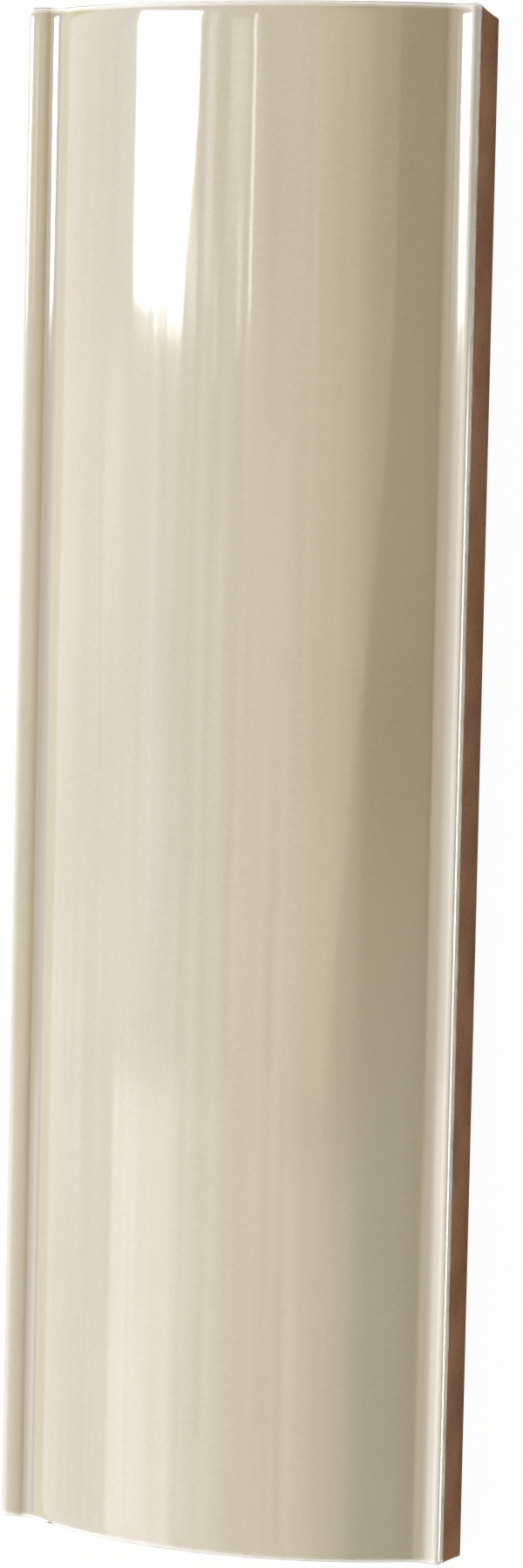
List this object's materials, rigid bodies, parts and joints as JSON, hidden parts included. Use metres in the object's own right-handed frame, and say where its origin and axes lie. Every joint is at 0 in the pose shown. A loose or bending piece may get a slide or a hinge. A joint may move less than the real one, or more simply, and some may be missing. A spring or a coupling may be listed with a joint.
{
  "type": "convex trim tile",
  "caption": "Glazed clay trim tile with a broad convex arch between narrow lips, rolled glaze edges, bare clay sides and a back grooved for bedding.",
  "frame": {"origin": "middle of the back, on the plane the tile is bedded by", "axes": "+Z out of the glazed front, +Y along the length towards the undercut upper end, +X across the width"},
  "size_m": [0.048, 0.152, 0.0122],
  "materials": {
    "glazed_clay": "glossy cream glaze over the front, bare matt brown clay on the sides, ends and back"
  },
  "bodies": {
    "root": {"trim_tile": "glazed_clay"}
  },
  "joints": []
}
